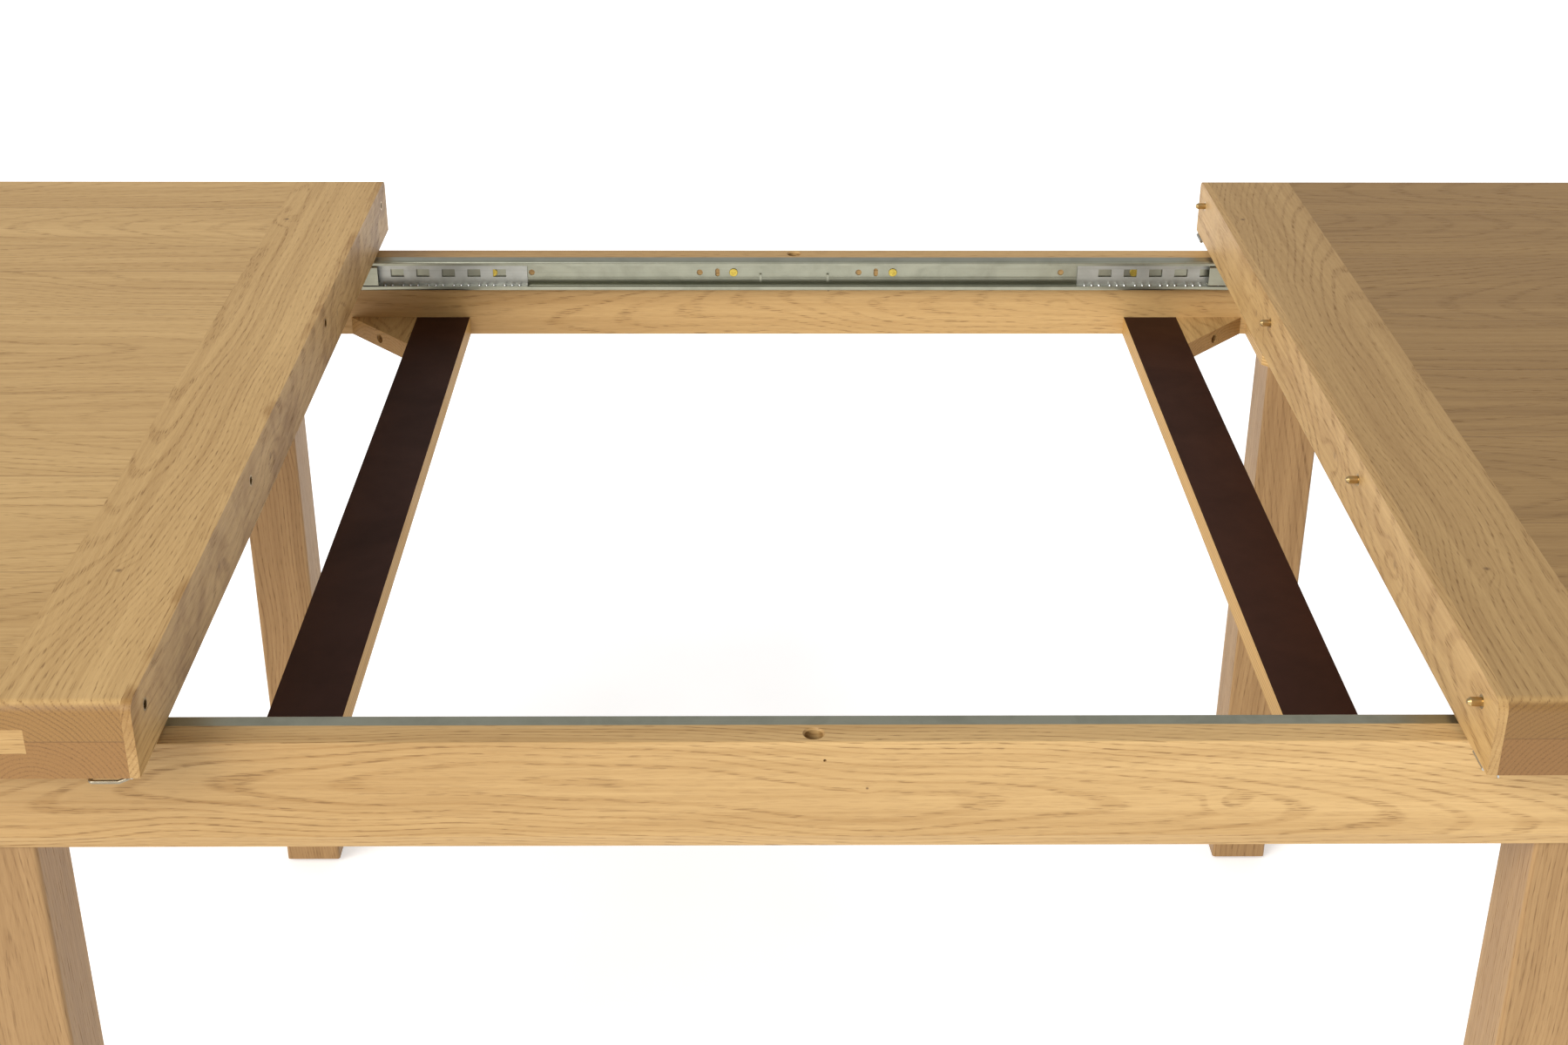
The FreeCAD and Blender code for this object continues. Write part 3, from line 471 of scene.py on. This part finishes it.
# Blotches on each lipping; the left one's heavy share is also painted shade for its shaded inner
# face
LIPPING_MOTTLE_AND_SHADE = {"left": 0.55, "right": 0.15}
APRON_LIGHT = {"front_apron": rgb(203, 168, 114), "rear_apron": rgb(192, 157, 104)}
APRON_FIGURE = {"front_apron": 0.62, "rear_apron": 0.34}
CROSS_KNOTS = (((0.45, 0.17, 1.0), 0.003, 0.6), ((0.15, 0.88, 1.0), 0.003, 0.8))
LIPPING_KNOTS = (((0.5, 0.23, 0.45), 0.005, 0.8), ((0.5, 0.41, 0.45), 0.005, 0.8),
                 ((0.5, 0.71, 0.45), 0.005, 0.8))
APRON_KNOTS = (((0.757, 0.0, 0.43), 0.0024, 0.0), ((0.545, 0.0, 0.57), 0.0012, 0.8))
BLOCK_KNOTS = (((0.45, 0.96, 0.5), 0.004, 0.9), ((0.55, 0.05, 0.5), 0.004, 0.9))

# Each metal's base colour, stain colour, roughness, rolling direction and texture scale
METALS = {
    "slide_steel": (rgb(166, 166, 148), rgb(130, 131, 114), 0.26, "X", 1.0),
    "cage_steel": (rgb(196, 197, 190), rgb(152, 153, 144), 0.40, "X", 1.0),
    "ball_steel": (rgb(215, 216, 214), rgb(170, 172, 170), 0.10, "X", 4.0),
    "brass": (rgb(196, 168, 116), rgb(136, 106, 64), 0.22, "X", 3.0),
    "zinc_steel": (rgb(188, 189, 184), rgb(140, 142, 136), 0.30, "Z", 2.0),
    "yellow_zinc": (rgb(214, 190, 92), rgb(150, 122, 48), 0.26, "Z", 3.0),
    "wire_steel": (rgb(158, 148, 128), rgb(112, 102, 84), 0.28, "Y", 2.0),
}


def board(node, axes, seed, knots=(), middle=None, **looks):
    """Oak for a board in one piece, with its heart behind its low face unless told where."""
    low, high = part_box(node)
    across, through = ("XYZ".index(axis) for axis in axes[1:])
    placed = [(tuple(a + (b - a) * part for a, b, part in zip(low, high, place)), size, darkness)
              for place, size, darkness in knots]
    return oak(node, axes, seed, (low[across], high[across]),
               low[through] if middle is None else middle, knots=placed, **looks)


def top_materials():
    made = {}
    for half, seed in TOP_SEEDS.items():
        light, dark = FIELD_COLOURS[half]
        field = half + "_field_panel"
        made[field] = oak(field, "XYZ", seed, FIELD_JOINTS[half], TOP_MIDDLE, light, dark,
                          figure=0.30, tone=0.09, heart=0.16)
        for step, node in ((1.0, half + "_cross_board"), (2.0, half + "_end_board")):
            made[node] = board(node, "YXZ", seed + step, CROSS_KNOTS, TOP_MIDDLE,
                               light=blend(light, OAK_LIGHT, 0.5), dark=blend(dark, OAK_DARK, 0.5),
                               figure=0.48, tone=0.04, heart=0.08, layer=TOP_MIDDLE,
                               end_shade=1.0)
        node = half + "_lipping"
        made[node] = board(node, "YZX", seed + 4, LIPPING_KNOTS, figure=0.7, tone=0.03,
                           heart=0.14, mottle=LIPPING_MOTTLE_AND_SHADE[half], end_shade=0.3)
    return made


def frame_materials():
    made = {}
    for index, node in enumerate(("front_apron", "rear_apron")):
        made[node] = board(node, "XZY", APRON_SEED + 2 * index, APRON_KNOTS,
                           light=APRON_LIGHT[node], figure=APRON_FIGURE[node], tone=0.03,
                           heart=0.06, fade=0.20)
    for index, node in enumerate(("left_end_rail", "right_end_rail")):
        made[node] = board(node, "YZX", RAIL_SEED + 2 * index, figure=0.8, tone=0.03, heart=0.06)
    for index, node in enumerate(name for name in sorted(nodes) if name.endswith("_leg")):
        made[node] = board(node, "ZXY", LEG_SEED + 3 * index, light=LEG_SHADED_LIGHT, dark=LEG_SHADED_DARK,
                           figure=0.6, tone=0.03, heart=0.05)
    for index, node in enumerate(("left_glue_blocks", "right_glue_blocks", "left_stop_blocks",
                                  "right_stop_blocks")):
        made[node] = board(node, "YXZ", BLOCK_SEED + index, BLOCK_KNOTS, figure=0.9, tone=0.04,
                           heart=0.03)
    return made


def small_materials():
    made = {slot: sheet_metal(slot, *looks) for slot, looks in METALS.items()}
    made["film_plywood"] = plywood("film_plywood", rgb(54, 27, 16), rgb(198, 158, 94))
    made["birch_plywood"] = plywood("birch_plywood", rgb(205, 172, 126), rgb(204, 168, 112))
    made["glide_plastic"] = moulded("glide_plastic", rgb(196, 188, 172))
    return made


def dress(piece, material):
    """Give a piece one material."""
    piece.data.materials.clear()
    piece.data.materials.append(material)


wood = {**top_materials(), **frame_materials()}
by_slot = small_materials()
slots = {entry["node"]: entry["material_slot"] for entry in frame["record"]["subparts"]}
for name, node in nodes.items():
    dress(node, wood[name] if name in wood else by_slot[slots[name]])


# Floor, light and camera. Metres and degrees.

FLOOR_SIZE = 24.0
FLOOR_STEPS = 6
FLOOR_GLOW = 0.42
STUDIO_STRENGTH = 0.55
KEY_SOURCE = Vector((-0.62, -0.60, 0.50))
KEY_STRENGTH = 2.7
KEY_SPREAD = 40.0
KEY_COLOUR = (1.0, 0.99, 0.97)
LAMP_PLACE = Vector((-1.0, -1.7, 2.1))
LAMP_TARGET = Vector((-0.7, -0.5, 0.75))
LAMP_SIZE = 0.9
LAMP_POWER = 7.0
CAMERA_PLACE = Vector((-0.0340, -1.6186, 1.4553))
CAMERA_PITCH = 27.11
CAMERA_YAW = 0.70
CAMERA_ROLL = 0.26
CAMERA_LENS = 50.0
CAMERA_SENSOR = 36.0


def link(name, data):
    made = bpy.data.objects.new(name, data)
    bpy.context.collection.objects.link(made)
    return made


def grid_plane(name, centre, size, steps):
    """Flat grid of faces."""
    half = size / 2
    verts = [(centre[0] - half + size * i / steps, centre[1] - half + size * j / steps, centre[2])
             for j in range(steps + 1) for i in range(steps + 1)]
    row = steps + 1
    faces = [(j * row + i, j * row + i + 1, (j + 1) * row + i + 1, (j + 1) * row + i)
             for j in range(steps) for i in range(steps)]
    mesh = bpy.data.meshes.new(name)
    mesh.from_pydata(verts, [], faces)
    return link(name, mesh)


def floor_material():
    """White sheet that gives off some light of its own."""
    g = Graph("floor")
    shade = g.noise(g.position(), 3.0, 4.0, seed=1.0)
    colour = g.mix(g.ramp(shade, 0.3, 0.7), rgb(250, 250, 250), rgb(246, 246, 246))
    g.set("Base Color", colour)
    g.set("Roughness", 0.9)
    g.set("Specular IOR Level", 0.0)
    g.set("Emission Color", colour)
    g.set("Emission Strength", FLOOR_GLOW)
    return g.material


def add_light(name, kind, energy, aim):
    """Light that shines in one direction."""
    data = bpy.data.lights.new(name, kind)
    data.energy = energy
    lamp = link(name, data)
    lamp.rotation_euler = aim.to_track_quat("-Z", "Y").to_euler()
    return lamp


def place_camera():
    """Camera at eye height in front of the table, looking down into the open gap."""
    pitch, yaw, roll = (math.radians(angle) for angle in (CAMERA_PITCH, CAMERA_YAW, CAMERA_ROLL))
    ahead = Vector((math.sin(yaw) * math.cos(pitch), math.cos(yaw) * math.cos(pitch),
                    -math.sin(pitch)))
    level = Vector((math.cos(yaw), -math.sin(yaw), 0.0))
    upward = level.cross(ahead)
    right = math.cos(roll) * level + math.sin(roll) * upward
    top = math.cos(roll) * upward - math.sin(roll) * level
    camera = link("camera", bpy.data.cameras.new("camera"))
    camera.data.lens = CAMERA_LENS
    camera.data.sensor_width = CAMERA_SENSOR
    turn = Matrix((right, top, -ahead)).transposed().to_4x4()
    camera.matrix_world = Matrix.Translation(CAMERA_PLACE) @ turn
    bpy.context.scene.camera = camera


floor = grid_plane("floor", (0.0, 0.0, cad_bounds[0][2]), FLOOR_SIZE, FLOOR_STEPS)
dress(floor, floor_material())

world = bpy.data.worlds.new("studio")
world.use_nodes = True
background = world.node_tree.nodes["Background"]
background.inputs["Color"].default_value = (1.0, 1.0, 1.0, 1.0)
background.inputs["Strength"].default_value = STUDIO_STRENGTH
bpy.context.scene.world = world
bpy.context.scene.view_settings.view_transform = "Standard"

key = add_light("key", "SUN", KEY_STRENGTH, -KEY_SOURCE)
key.data.angle = math.radians(KEY_SPREAD)
key.data.color = KEY_COLOUR
lamp = add_light("lamp", "AREA", LAMP_POWER, LAMP_TARGET - LAMP_PLACE)
lamp.location = LAMP_PLACE
lamp.data.size = LAMP_SIZE
place_camera()
